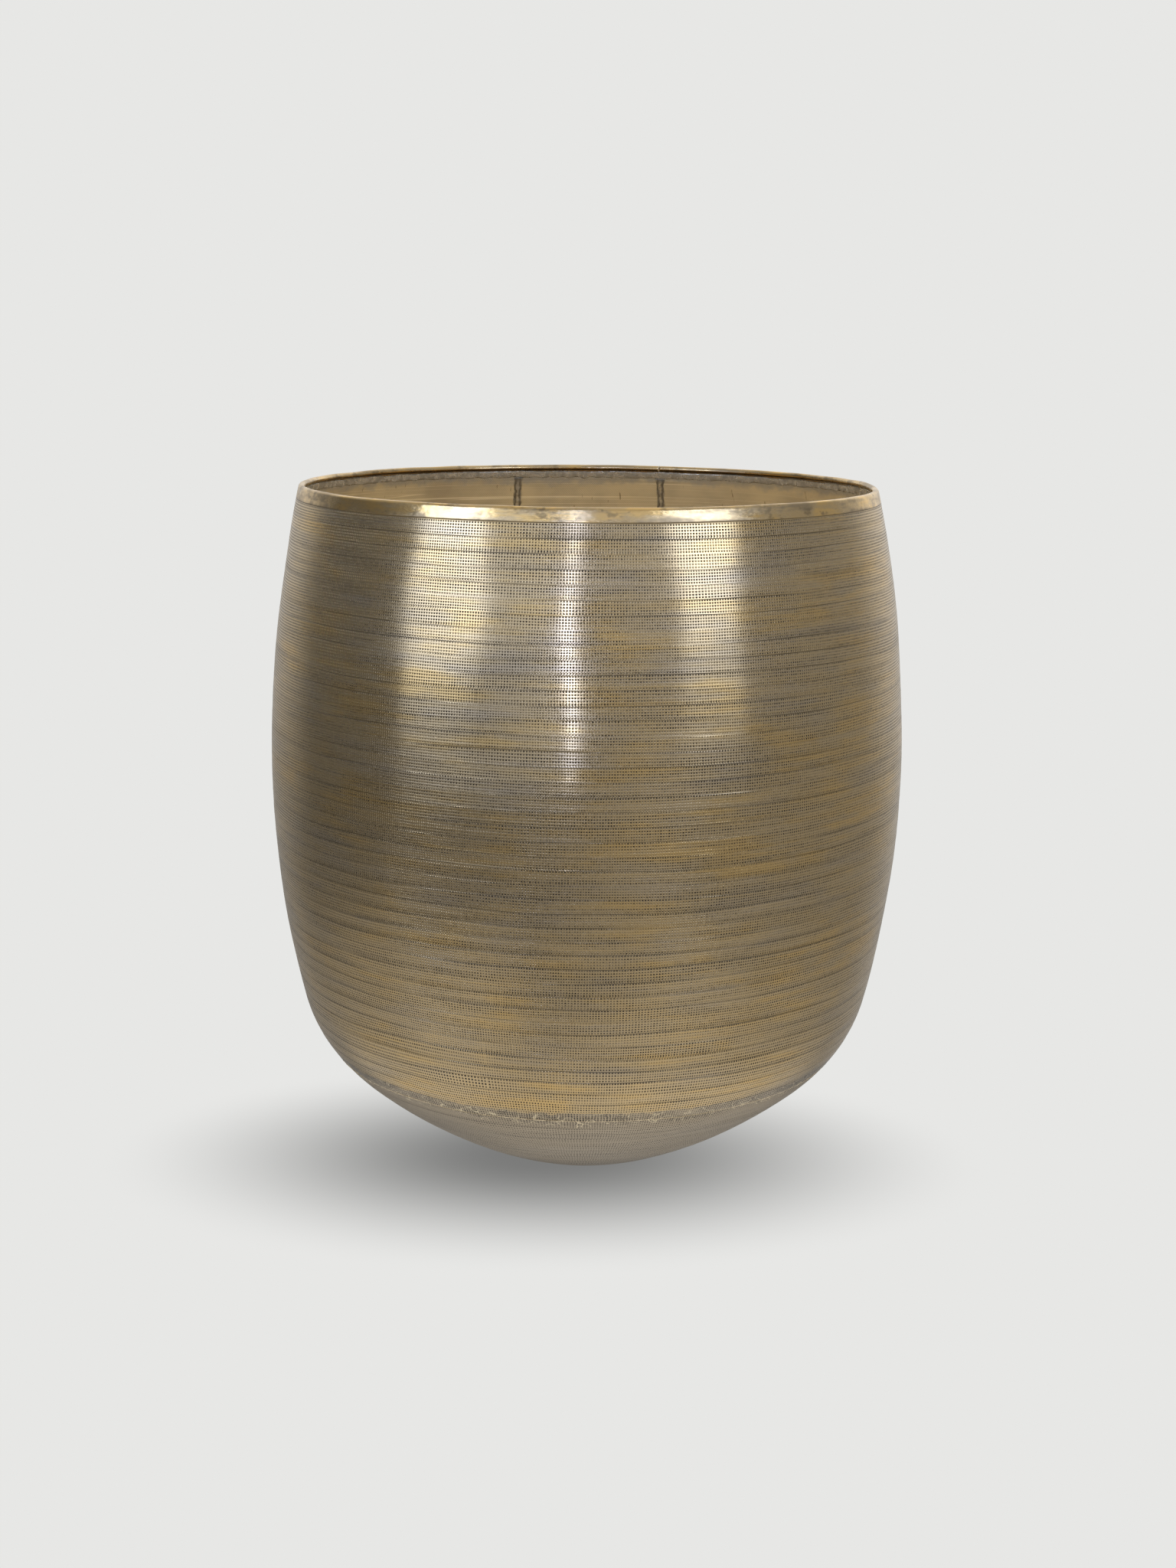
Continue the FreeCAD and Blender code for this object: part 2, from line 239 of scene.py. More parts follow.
class Shader:
    """A material's nodes, made by short calls.  Numbers, colours and sockets can be given alike."""

    def __init__(self, name):
        self.material = bpy.data.materials.new(name)
        self.material.use_nodes = True
        self.tree = self.material.node_tree
        self.tree.nodes.clear()
        self.surface = self.tree.nodes.new("ShaderNodeBsdfPrincipled")
        output = self.tree.nodes.new("ShaderNodeOutputMaterial")
        self.tree.links.new(self.surface.outputs[0], output.inputs[0])

    @classmethod
    def on(cls, tree):
        """The same calls for a tree that exists already, such as the world's or a light's."""
        shader = cls.__new__(cls)
        shader.tree = tree
        return shader

    def put(self, socket, value):
        """Link a socket to an input, or set the input's own value."""
        if isinstance(value, bpy.types.NodeSocket):
            self.tree.links.new(value, socket)
        else:
            socket.default_value = value

    def math(self, operation, *values):
        """One sum or function of numbers."""
        node = self.tree.nodes.new("ShaderNodeMath")
        node.operation = operation
        for socket, value in zip(node.inputs, values):
            self.put(socket, value)
        return node.outputs[0]

    def ramp(self, value, low, high, start=0.0, end=1.0):
        """Smooth step of a value from start to end."""
        node = self.tree.nodes.new("ShaderNodeMapRange")
        node.interpolation_type = "SMOOTHSTEP"
        for socket, number in zip(node.inputs, (value, low, high, start, end)):
            self.put(socket, number)
        return node.outputs[0]

    def mix(self, factor, first, second):
        """Mix of two colours."""
        node = self.tree.nodes.new("ShaderNodeMix")
        node.data_type = "RGBA"
        self.put(node.inputs[0], factor)
        self.put(node.inputs[6], (*first, 1) if isinstance(first, tuple) else first)
        self.put(node.inputs[7], (*second, 1) if isinstance(second, tuple) else second)
        return node.outputs[2]

    def place(self):
        """Position in the object's own frame."""
        return self.tree.nodes.new("ShaderNodeTexCoord").outputs["Object"]

    def split(self, vector):
        """The three numbers of a vector."""
        node = self.tree.nodes.new("ShaderNodeSeparateXYZ")
        self.put(node.inputs[0], vector)
        return node.outputs

    def combine(self, *values):
        """Vector of three numbers."""
        node = self.tree.nodes.new("ShaderNodeCombineXYZ")
        for socket, value in zip(node.inputs, values):
            self.put(socket, value)
        return node.outputs[0]

    def noise(self, stretch, detail=2.0, roughness=0.5, vector=None):
        """Noise over the object, with so many features a metre along x, y and z."""
        scale = self.tree.nodes.new("ShaderNodeVectorMath")
        scale.operation = "MULTIPLY"
        self.put(scale.inputs[0], self.place() if vector is None else vector)
        scale.inputs[1].default_value = stretch
        node = self.tree.nodes.new("ShaderNodeTexNoise")
        self.put(node.inputs["Vector"], scale.outputs[0])
        node.inputs["Scale"].default_value = 1.0
        node.inputs["Detail"].default_value = detail
        node.inputs["Roughness"].default_value = roughness
        return node.outputs["Fac"]

    def cell(self, *values):
        """Random number that is the same all over a cell."""
        node = self.tree.nodes.new("ShaderNodeTexWhiteNoise")
        self.put(node.inputs["Vector"], self.combine(*values))
        return node.outputs["Value"]

    def bump(self, height, distance, strength=1.0, normal=None):
        """Normal of a surface with that relief, so deep in metres, on top of another normal."""
        node = self.tree.nodes.new("ShaderNodeBump")
        node.inputs["Strength"].default_value = strength
        node.inputs["Distance"].default_value = distance
        self.put(node.inputs["Height"], height)
        if normal is not None:
            self.put(node.inputs["Normal"], normal)
        return node.outputs[0]

    def finish(self, colour, roughness, normal=None, metallic=1.0):
        """The material, once its surface has its inputs."""
        self.put(self.surface.inputs["Base Color"], (*colour, 1) if isinstance(colour, tuple) else colour)
        self.put(self.surface.inputs["Roughness"], roughness)
        self.put(self.surface.inputs["Metallic"], metallic)
        if normal is not None:
            self.put(self.surface.inputs["Normal"], normal)
        return self.material


ROW_PITCH = 1.65 * MM
PIT_PITCH = 1.60 * MM
PASS_STRIDE = 8          # knurl rows from one roller pass to the next in the shader's own count
ROWS = 5                 # rows that the roller leaves in one pass
PASS_HEIGHT = ROWS * ROW_PITCH
WALL_PASSES = round((LENGTH_TO_JOINT - HALF_JOINT_GAP) / PASS_HEIGHT)
BOWL_PASSES = 13
ROWS_LOST = 2.2          # a pass would have this many rows fewer where the sheet lies level
DARK_PIT = (0.56, 0.54, 0.12)    # half width, half height and soft edge of a pit's dark, in half pitches
SUNK_PIT = (0.52, 0.50, 0.16)    # the same of its hollow
INSIDE_METALLIC = 0.6            # the inside is partly covered with dull oxide
DULL_METALLIC = 0.7              # and so are braze and solder

GOLD = (0.74, 0.51, 0.22)
BRASS = (0.64, 0.48, 0.265)
OLIVE = (0.57, 0.45, 0.29)
WALL_TONES = (GOLD, BRASS, OLIVE)
GREY_PATINA = (0.46, 0.375, 0.26)
PIT_DARK = (0.032, 0.029, 0.026)
INSIDE_GOLD = (0.68, 0.53, 0.29)
INSIDE_BROWN = (0.46, 0.35, 0.195)
RUST = (0.20, 0.11, 0.04)
# colour of the painted shade at the bowl's foot
FOOT_PAINTED_SHADE = (0.12, 0.085, 0.04)
FLUX = (0.36, 0.31, 0.23)
BOWL_TONES = ((0.56, 0.45, 0.29), GREY_PATINA, (0.38, 0.31, 0.21))
BOWL_PIT = (0.13, 0.11, 0.085)
RIM_TONES = ((0.90, 0.61, 0.25), (0.72, 0.53, 0.28), (0.46, 0.35, 0.21))
WIRE_TONES = ((0.80, 0.62, 0.34), (0.66, 0.50, 0.28), (0.35, 0.26, 0.15))
SEAM_LINE = 1.7          # millimetres from the middle of a seam to each of its dark lines


def knurl_mask(shader, across, local, pit):
    """1 inside a pit and 0 on the land round it."""
    wide, tall, edge = pit
    masks = []
    for value, half in ((across, wide), (local, tall)):
        part = shader.math("FRACT", value)
        away = shader.math("ABSOLUTE", shader.math("SUBTRACT", shader.math("MULTIPLY", part, 2.0), 1.0))
        masks.append(shader.ramp(away, half - edge, half + edge, 1.0, 0.0))
    return shader.math("MULTIPLY", *masks)


def knurled_brass(name, tones, pit_colour, depth, rough, past_joint, foot=False):
    """Brass rolled all over with rows of small square pits, in passes that overlap unevenly.

    `past_joint` is added to the shader's rows, so that the torn stretch round the joint of wall and bowl is at
    the wall's last rows and the bowl's first.  With `foot`, painted shade darkens the metal towards the
    ground.
    """
    shader = Shader(name)
    uv = shader.tree.nodes.new("ShaderNodeUVMap")
    uv.uv_map = "knurl"
    across, down, _ = shader.split(uv.outputs[0])
    pass_number = shader.math("FLOOR", shader.math("DIVIDE", down, float(PASS_STRIDE)))
    local = shader.math("SUBTRACT", down, shader.math("MULTIPLY", pass_number, float(PASS_STRIDE)))
    row = shader.math("FLOOR", local)
    column = shader.math("FLOOR", across)

    # Pits, each a little different, and none on the bowl's plain stretch, whose row is past a pass's last.
    inside = shader.ramp(local, ROWS + 0.30, ROWS + 0.40, 1.0, 0.0)
    pits = shader.math("MULTIPLY", knurl_mask(shader, across, local, DARK_PIT), inside)
    sunk = shader.math("MULTIPLY", knurl_mask(shader, across, local, SUNK_PIT), inside)
    own = shader.cell(column, row, pass_number)
    # Struck twice where the next pass runs over this one's last row.
    slide = shader.cell(pass_number, 3.0, 7.0)
    again = knurl_mask(shader, shader.math("ADD", across, slide), shader.math("ADD", local, 0.42), DARK_PIT)
    patch = shader.noise((9.0, 9.0, 120.0), 1.0)
    overlap = shader.math("MULTIPLY", shader.ramp(local, ROWS - 1.15, ROWS - 0.85),
                          shader.ramp(patch, 0.46, 0.54, 0.0, 0.65))
    pits = shader.math("MAXIMUM", pits, shader.math("MULTIPLY", again, overlap))
    # Worn or lightly struck patches.
    wear = shader.ramp(shader.noise((14.0, 14.0, 210.0), 2.0, 0.6), 0.30, 0.62, 0.50, 1.0)
    strength = shader.math("MULTIPLY", wear, shader.ramp(own, 0.0, 1.0, 0.72, 1.0))
    pits = shader.math("MULTIPLY", pits, strength)
    # Painted shade: a dark line in the groove where two passes meet.
    line_patch = shader.noise((6.0, 6.0, 170.0), 2.0, 0.6)
    line = shader.ramp(local, 0.14, 0.32, 1.0, 0.0)
    line = shader.math("MULTIPLY", line, shader.ramp(line_patch, 0.36, 0.56))
    line = shader.math("MULTIPLY", line, shader.math("MINIMUM", pass_number, 1.0))

    # Tarnish in streaks and clouds, a little different from pass to pass.
    streak = shader.noise((6.0, 6.0, 130.0), 3.0, 0.62)
    fine = shader.noise((18.0, 18.0, 420.0), 2.0, 0.6)
    cloud = shader.noise((16.0, 16.0, 48.0), 3.0, 0.62)
    by_pass = shader.cell(pass_number, 11.0, 5.0)
    tone = shader.math("ADD", shader.math("MULTIPLY", streak, 0.18), shader.math("MULTIPLY", cloud, 0.58))
    tone = shader.math("ADD", tone, shader.math("MULTIPLY", fine, 0.24))
    tone = shader.math("ADD", tone, shader.math("MULTIPLY", shader.math("SUBTRACT", by_pass, 0.5), 0.05))
    gold, mid, olive = tones
    colour = shader.mix(shader.ramp(tone, 0.34, 0.51), olive, mid)
    colour = shader.mix(shader.ramp(tone, 0.49, 0.64), colour, gold)
    # Round the joint of wall and bowl the roller slid: grey scuffs, long dark hatches and pale scratches.
    torn = shader.noise((210.0, 210.0, 120.0), 2.0, 0.6)
    uneven = shader.math("MULTIPLY", shader.noise((34.0, 34.0, 34.0), 2.0, 0.6), 7.0)
    reach = shader.math("ADD", shader.math("ADD", down, past_joint - 3.4), shader.math("MULTIPLY", torn, 4.0))
    reach = shader.math("ADD", reach, uneven)
    colour = shader.mix(shader.ramp(reach, 0.8, 2.8, 0.0, 0.9), colour, tones[1] if foot else GREY_PATINA)
    slid = shader.math("ADD", across, shader.math("MULTIPLY", torn, 2.2))
    stripe = shader.math("ABSOLUTE", shader.math("SUBTRACT", shader.math("FRACT", slid), 0.5))
    hatch = shader.ramp(stripe, 0.14, 0.30, 1.0, 0.0)
    zone = shader.math("MULTIPLY", shader.ramp(reach, 1.6, 2.8), shader.ramp(reach, 5.8, 7.4, 1.0, 0.0))
    patches = shader.ramp(shader.noise((38.0, 38.0, 38.0), 2.0, 0.6), 0.38, 0.54)
    hatch = shader.math("MULTIPLY", shader.math("MULTIPLY", hatch, zone), patches)
    pits = shader.math("MAXIMUM", pits, shader.math("MULTIPLY", hatch, 0.62))
    swirl = shader.noise((95.0, 95.0, 190.0), 1.0)
    contour = shader.math("ABSOLUTE", shader.math("SUBTRACT", swirl, 0.5))
    scratch = shader.ramp(contour, 0.006, 0.018, 1.0, 0.0)
    near = shader.math("MULTIPLY", shader.ramp(reach, 2.2, 3.4), shader.ramp(reach, 6.5, 8.0, 1.0, 0.0))
    scratch = shader.math("MULTIPLY", scratch, near)
    colour = shader.mix(shader.math("MULTIPLY", scratch, 0.6), colour, (0.95, 0.80, 0.52))
    pits = shader.math("MULTIPLY", pits, shader.math("SUBTRACT", 1.0, shader.math("MULTIPLY", scratch, 0.8)))
    # Painted shade: the bowl darkens towards the ground, standing in for the shadowed floor that it mirrors.
    if foot:
        _, _, height = shader.split(shader.place())
        colour = shader.mix(shader.ramp(height, 2.0 * MM, 30.0 * MM, 0.85, 0.0), colour, FOOT_PAINTED_SHADE)
    # Painted shade of the pass lines, in the pits' colour.
    colour = shader.mix(shader.math("MULTIPLY", line, 0.85), colour, pit_colour)
    colour = shader.mix(shader.math("MULTIPLY", pits, 0.96), colour, pit_colour)

    roughness = shader.ramp(tone, 0.38, 0.62, rough[0], rough[1])
    roughness = shader.math("ADD", roughness, shader.math("MULTIPLY", pits, 0.30))
    sunk = shader.math("MAXIMUM", shader.math("MULTIPLY", sunk, strength), line)
    normal = shader.bump(shader.math("SUBTRACT", 1.0, sunk), depth)
    grain = shader.noise((420.0, 420.0, 900.0), 2.0, 0.6)
    normal = shader.bump(grain, 0.05 * MM, 0.35, normal)
    return shader.finish(colour, roughness, normal)


def smooth_brass(name, tones, rough=(0.16, 0.34), stretch=(9.0, 9.0, 240.0)):
    """Plain sheet with tarnish smudges drawn out round the pot, fine scratches and painted shade on its
    underside.
    """
    shader = Shader(name)
    streak = shader.noise(stretch, 3.0, 0.65)
    cloud = shader.noise((42.0, 42.0, 90.0), 3.0, 0.65)
    tone = shader.math("ADD", shader.math("MULTIPLY", streak, 0.5), shader.math("MULTIPLY", cloud, 0.5))
    gold, mid, dark = tones
    colour = shader.mix(shader.ramp(tone, 0.38, 0.50), dark, mid)
    colour = shader.mix(shader.ramp(tone, 0.50, 0.60), colour, gold)
    spots = shader.ramp(shader.noise((75.0, 75.0, 150.0), 3.0, 0.65), 0.54, 0.66, 0.0, 0.6)
    colour = shader.mix(spots, colour, tuple(0.6 * part for part in dark))
    # Painted shade: faces turned towards the ground are darkened.
    _, _, up = shader.split(shader.tree.nodes.new("ShaderNodeNewGeometry").outputs["Normal"])
    colour = shader.mix(shader.ramp(up, -0.55, -0.05, 1.0, 0.0), colour, (0.09, 0.06, 0.025))
    roughness = shader.ramp(tone, 0.36, 0.58, rough[1], rough[0])
    normal = shader.bump(shader.noise((30.0, 30.0, 1500.0), 2.0, 0.7), 0.03 * MM, 0.5)
    normal = shader.bump(shader.noise((55.0, 55.0, 90.0), 3.0, 0.6), 0.45 * MM, 0.8, normal)
    return shader.finish(colour, roughness, normal)


def inner_colour(shader):
    """Dull warm brass with spinning lines, stains, grey flux below the solder and a few upright scratches."""
    streak = shader.noise((5.0, 5.0, 170.0), 3.0, 0.6)
    cloud = shader.noise((16.0, 16.0, 22.0), 3.0, 0.6)
    tone = shader.math("ADD", shader.math("MULTIPLY", streak, 0.25), shader.math("MULTIPLY", cloud, 0.75))
    colour = shader.mix(shader.ramp(tone, 0.32, 0.62), INSIDE_BROWN, INSIDE_GOLD)
    lines = shader.noise((1.2, 1.2, 240.0), 1.0)
    contour = shader.math("ABSOLUTE", shader.math("SUBTRACT", lines, 0.52))
    bright = shader.ramp(contour, 0.004, 0.011, 1.0, 0.0)
    colour = shader.mix(shader.math("MULTIPLY", bright, 0.5), colour, (1.0, 0.84, 0.52))
    scratch = shader.ramp(shader.noise((520.0, 520.0, 18.0), 1.0), 0.735, 0.79)
    colour = shader.mix(shader.math("MULTIPLY", scratch, 0.7), colour, RUST)
    _, _, height = shader.split(shader.place())
    ragged = shader.math("MULTIPLY", shader.noise((60.0, 60.0, 90.0), 3.0, 0.65), 14.0 * MM)
    flux = shader.math("ADD", height, ragged)
    flux = shader.ramp(flux, WALL_TOP + 1.0 * MM, WALL_TOP + 6.5 * MM, 0.0, 0.85)
    return shader.mix(flux, colour, FLUX), tone


def inner_brass(name):
    """Inside of the sheets, with the faint back of the rolled texture."""
    shader = Shader(name)
    x, y, height = shader.split(shader.place())
    colour, tone = inner_colour(shader)
    angle = shader.math("ARCTAN2", y, x)
    rows = shader.math("SINE", shader.math("MULTIPLY", height, TAU / ROW_PITCH))
    pits = shader.math("SINE", shader.math("MULTIPLY", angle, round(MEAN_RADIUS * TAU / PIT_PITCH)))
    normal = shader.bump(shader.math("MULTIPLY", rows, pits), 0.06 * MM, 0.6)
    lines = shader.noise((1.5, 1.5, 520.0), 2.0, 0.5)
    normal = shader.bump(lines, 0.12 * MM, 0.8, normal)
    return shader.finish(colour, shader.ramp(tone, 0.35, 0.65, 0.50, 0.38), normal, INSIDE_METALLIC)


def seam_metal(name):
    """Brazed seam: two ragged dark lines, a stain between them and a dark lump of it under the solder.

    Its shader coordinates are millimetres across and metres down.
    """
    shader = Shader(name)
    uv = shader.tree.nodes.new("ShaderNodeUVMap")
    uv.uv_map = "knurl"
    across, down, _ = shader.split(uv.outputs[0])
    colour, _ = inner_colour(shader)
    blotch = shader.noise((260.0, 260.0, 260.0), 3.0, 0.65)
    total = None
    for side, waves in ((-1.0, 150.0), (1.0, 190.0)):
        wander = shader.math("SUBTRACT", shader.noise((60.0, 60.0, waves), 3.0, 0.6), 0.5)
        centre = shader.math("ADD", shader.math("MULTIPLY", wander, 5.0), SEAM_LINE * side)
        away = shader.math("ABSOLUTE", shader.math("SUBTRACT", across, centre))
        away = shader.math("ADD", away, shader.math("MULTIPLY", blotch, 3.4))
        mark = shader.ramp(away, 1.5, 3.5, 1.0, 0.0)
        total = mark if total is None else shader.math("MAXIMUM", total, mark)
    edge = shader.ramp(shader.math("ABSOLUTE", across), 1.8, 3.2, 1.0, 0.0)
    stain = shader.math("MULTIPLY", shader.math("MULTIPLY", shader.ramp(blotch, 0.36, 0.56), 0.75), edge)
    colour = shader.mix(stain, colour, (0.28, 0.235, 0.17))
    colour = shader.mix(shader.math("MULTIPLY", total, 0.95), colour, (0.115, 0.088, 0.05))
    lump = shader.math("ADD", down, shader.math("MULTIPLY", blotch, 9.0 * MM))
    lump = shader.ramp(lump, 5.0 * MM, 8.5 * MM, 0.8, 0.0)
    colour = shader.mix(lump, colour, (0.15, 0.135, 0.105))
    return shader.finish(colour, 0.48, shader.bump(blotch, 0.25 * MM, 0.8), INSIDE_METALLIC)


def dull_metal(name, light, dark, scale, roughness):
    """Blotchy braze or solder."""
    shader = Shader(name)
    blotch = shader.noise((scale, scale, scale), 3.0, 0.65)
    colour = shader.mix(shader.ramp(blotch, 0.40, 0.60), dark, light)
    normal = shader.bump(blotch, 0.25 * MM, 0.8)
    rough = shader.ramp(blotch, 0.4, 0.62, roughness + 0.25, roughness)
    return shader.finish(colour, rough, normal, DULL_METALLIC)


knurled = knurled_brass("knurled_brass", WALL_TONES, PIT_DARK, depth=0.22 * MM, rough=(0.22, 0.17),
                        past_joint=-float(WALL_PASSES - 1) * PASS_STRIDE)
bowl_brass = knurled_brass("bowl_brass", BOWL_TONES, BOWL_PIT, depth=0.12 * MM, rough=(0.42, 0.34),
                           past_joint=3.1, foot=True)
inside_brass = inner_brass("inside_brass")
seam_brass = seam_metal("seam_brass")
rim_brass = smooth_brass("rim_brass", RIM_TONES, rough=(0.20, 0.38), stretch=(12.0, 12.0, 160.0))
wire_brass = smooth_brass("wire_brass", WIRE_TONES)
braze = dull_metal("braze", (0.62, 0.51, 0.34), (0.34, 0.27, 0.17), scale=420.0, roughness=0.40)
solder = dull_metal("solder", (0.62, 0.58, 0.50), (0.40, 0.36, 0.28), scale=240.0, roughness=0.20)

# --- the knurled wall and bowl ------------------------------------------------------------------------

PASS_HOLLOW = 0.035 * MM     # a pass is this much deeper at its middle than at its edges
ROW_GROOVE = 0.045 * MM      # a row of pits lies this much deeper than the ridge between two rows
MEET_GROOVE = 0.055 * MM     # the groove where two passes meet
WANDER = 0.42 * MM           # how far a pass strays up and down

BACK = math.pi / 2
SEAM_HALF_ANGLE = math.radians(16)
SEAM_GAP = math.radians(0.2)
RIM_GAP = math.radians(0.3)
CAP_RADIUS = 4 * MM          # of the discs in the middle of the bowl's floor
SOLDER_TOP = -4.4 * MM       # down the outline from the wall's top edge, and so is its lower edge
SOLDER_LOW = 0.3 * MM
SOLDER_THICK = 0.34 * MM
SEAM_BARE = (0.3 * MM, 0.6 * MM)    # sheet that a seam's braze leaves bare above and below it
SEAM_FILL = 0.36 * MM        # half the width of the braze outside
SEAM_HALF_WIDTH = 3.1        # in millimetres, of the bead of braze inside
SEAM_THICK = 0.26            # its thickness, in millimetres
SEAM_PROUD = 0.05            # how far the braze stands out outside, in millimetres
DENTS_FADE = 0.20            # the dents die out over this length above the foot, where the bowl is stiff
dents = Dents(11, 0.24 * MM, 0.060, 0.190)


class Passes:
    """Roller passes down a stretch of the outline: where each starts at every angle, its rows and pit phase.

    Lower down, where the sheet was stretched over the haunch, a pass has fewer and taller rows.
    """

    def __init__(self, seed, start, end):
        random = np.random.default_rng(seed)
        self.count = round((end - start) / PASS_HEIGHT)
        self.start, self.end = start, end
        self.own = random.integers(1 << 30, size=(self.count + 1, 2))
        middles = start + (end - start) * (np.arange(self.count) + 0.5) / self.count
        self.rows = ROWS - np.round(ROWS_LOST * np.clip(-outline(middles)[3], 0, 1)).astype(int)

    def boundary(self, number, angle):
        """How far down the outline a pass begins."""
        level = self.start + (self.end - self.start) * number / self.count
        ends = min(number, self.count - number)
        if ends == 0:
            return np.full(angle.shape, level)
        slow = sum(0.7 ** back * ripple(np.random.default_rng(self.own[number - back, 0]), angle, 1, 5)
                   for back in range(min(number, 3)))
        quick = ripple(np.random.default_rng(self.own[number, 1]), angle, 6, 16)
        return level + WANDER * min(1.0, ends / 3) * (0.8 * slow + 0.3 * quick)

    def slip(self, number, angle):
        """Pit phase along a pass, in pits."""
        random = np.random.default_rng(self.own[number, 0] + 7)
        return random.uniform(0, 1) + 0.8 * ripple(random, angle, 2, 12)


def knurled_rows(passes, angle, steps):
    """Grid of the rolled surface, as distance down the outline and depth."""
    along, depth = [], []
    middle = np.linspace(0, 1, steps, endpoint=False)
    borders = [passes.boundary(number, angle) for number in range(passes.count + 1)]
    for number in range(passes.count):
        random = np.random.default_rng(passes.own[number, 1] + 3)
        meet = MEET_GROOVE * min(number, 1) * np.clip(0.45 + 0.6 * ripple(random, angle, 3, 24), 0, 1.3)
        lower = random.normal() * 0.02 * MM
        # Only a fine grid can show the rows.
        in_row = np.where(np.mod(middle * passes.rows[number], 1) < 0.2, 0.0, 1.0) * (steps > 2 * ROWS)
        for share, groove in zip(middle, in_row):
            along.append(borders[number] + (borders[number + 1] - borders[number]) * share)
            hollow = PASS_HOLLOW * 4 * share * (1 - share) + lower
            depth.append(meet if share == 0 else hollow + ROW_GROOVE * groove * np.ones(angle.shape))
    along.append(borders[-1])
    depth.append(np.zeros(angle.shape))
    return np.array(along), np.array(depth)


def knurl_uv(passes, angle, along, steps):
    """Shader coordinates of every corner of the rolled grid: pits across, rows down."""
    faces = []
    for number in range(passes.count):
        rows = along[number * steps:number * steps + steps + 1]
        pits_round = round(TAU * float(outline(rows.mean())[0]) / PIT_PITCH)
        across = (angle + TAU) / TAU * pits_round + passes.slip(number, angle)
        local = np.linspace(0.001, passes.rows[number] + 0.12, steps + 1)[:, None]
        down = number * PASS_STRIDE + local * np.ones(rows.shape)
        u = np.broadcast_to(across, rows.shape)
        corners = [(slice(0, -1), slice(0, -1)), (slice(1, None), slice(0, -1)),
                   (slice(1, None), slice(1, None)), (slice(0, -1), slice(1, None))]
        faces.append(np.stack([np.stack([u[c], down[c]], -1) for c in corners], 2).reshape(-1, 4, 2))
    return np.concatenate(faces)


def sheet_offset(angle, along, depth):
    """Points of the pot's surface at a depth inward from its outline, with the sheet's dents."""
    fade = np.clip((LENGTH_TO_FLAT - along) / DENTS_FADE, 0, 1)
    depth = depth + fade * dents.at(angle, along)
    radius, height, normal_r, normal_z = outline(along)
    return turned(angle, radius - depth * normal_r, height - depth * normal_z)


def rolled_wall(name, node, passes, first, last, columns):
    """Closed piece of rolled sheet between two angles, its inside plain."""
    spare = with_spares(first, last, columns)
    along, depth = knurled_rows(passes, spare, WALL_STEPS)
    outer = sheet_offset(spare, along, depth)
    inner_along = np.linspace(passes.end, passes.start, INNER_ROWS + 1)[:, None] * np.ones(len(spare))
    inner = sheet_offset(spare, inner_along, SHEET)
    uv = knurl_uv(passes, spare[1:-1], along[:, 1:-1], WALL_STEPS)
    piece = sweep(name, np.concatenate([outer, inner]), (knurled, inside_brass), outer_rows=len(outer), uv=uv)
    add_piece(piece, node)


def make_wall():
    """Main sheet in sectors, and the strip that closes the back, rolled in one go."""
    passes = Passes(5, 0.0, LENGTH_TO_JOINT - HALF_JOINT_GAP)
    first = BACK + SEAM_HALF_ANGLE + SEAM_GAP / 2
    turn = (TAU - 2 * SEAM_HALF_ANGLE - SEAM_GAP) / WALL_PIECES
    for number in range(WALL_PIECES):
        start = first + turn * number
        rolled_wall(f"wall_sheet_{number + 1}", "wall_sheet", passes, start, start + turn, WALL_COLUMNS)
    first, last = BACK - SEAM_HALF_ANGLE + SEAM_GAP / 2, BACK + SEAM_HALF_ANGLE - SEAM_GAP / 2
    rolled_wall("wall_filler_strip_rolled", "wall_filler_strip", passes, first, last, STRIP_COLUMNS)


def make_bowl():
    """Bottom bowl in one piece: knurled down to near its foot, plain inside, flat where it stands."""
    start = LENGTH_TO_JOINT + HALF_JOINT_GAP
    passes = Passes(17, start, start + BOWL_PASSES * PASS_HEIGHT)
    spare = with_spares(0.0, TAU, BOWL_COLUMNS, closed=True)
    along, depth = knurled_rows(passes, spare, BOWL_STEPS)
    end = LENGTH_TO_FLAT + FLAT_RADIUS - CAP_RADIUS
    blend, flat = np.linspace(passes.end, LENGTH_TO_FLAT, 14), np.linspace(LENGTH_TO_FLAT, end, 8)
    plain = np.concatenate([blend[1:], flat[1:]])
    plain = plain[:, None] * np.ones(len(spare))
    outer = sheet_offset(spare, np.concatenate([along, plain]), np.concatenate([depth, plain * 0]))
    inner_along = np.linspace(end, start, INNER_ROWS + 1)[:, None] * np.ones(len(spare))
    inner = sheet_offset(spare, inner_along, SHEET)
    round_ = np.append(spare[1:-1], spare[-1])
    wrapped = np.concatenate([along[:, 1:-1], along[:, 1:2]], 1)
    uv = knurl_uv(passes, round_, wrapped, BOWL_STEPS)
    bare = np.zeros((len(plain) * BOWL_COLUMNS, 4, 2))
    bare[..., 1] = passes.count * PASS_STRIDE + ROWS + 1.5
    piece = sweep("base_bowl_spun", np.concatenate([outer, inner]), (bowl_brass, inside_brass), closed=True,
                  outer_rows=len(outer), centre_caps=True, uv=np.concatenate([uv, bare]))
    add_piece(piece, "base_bowl")


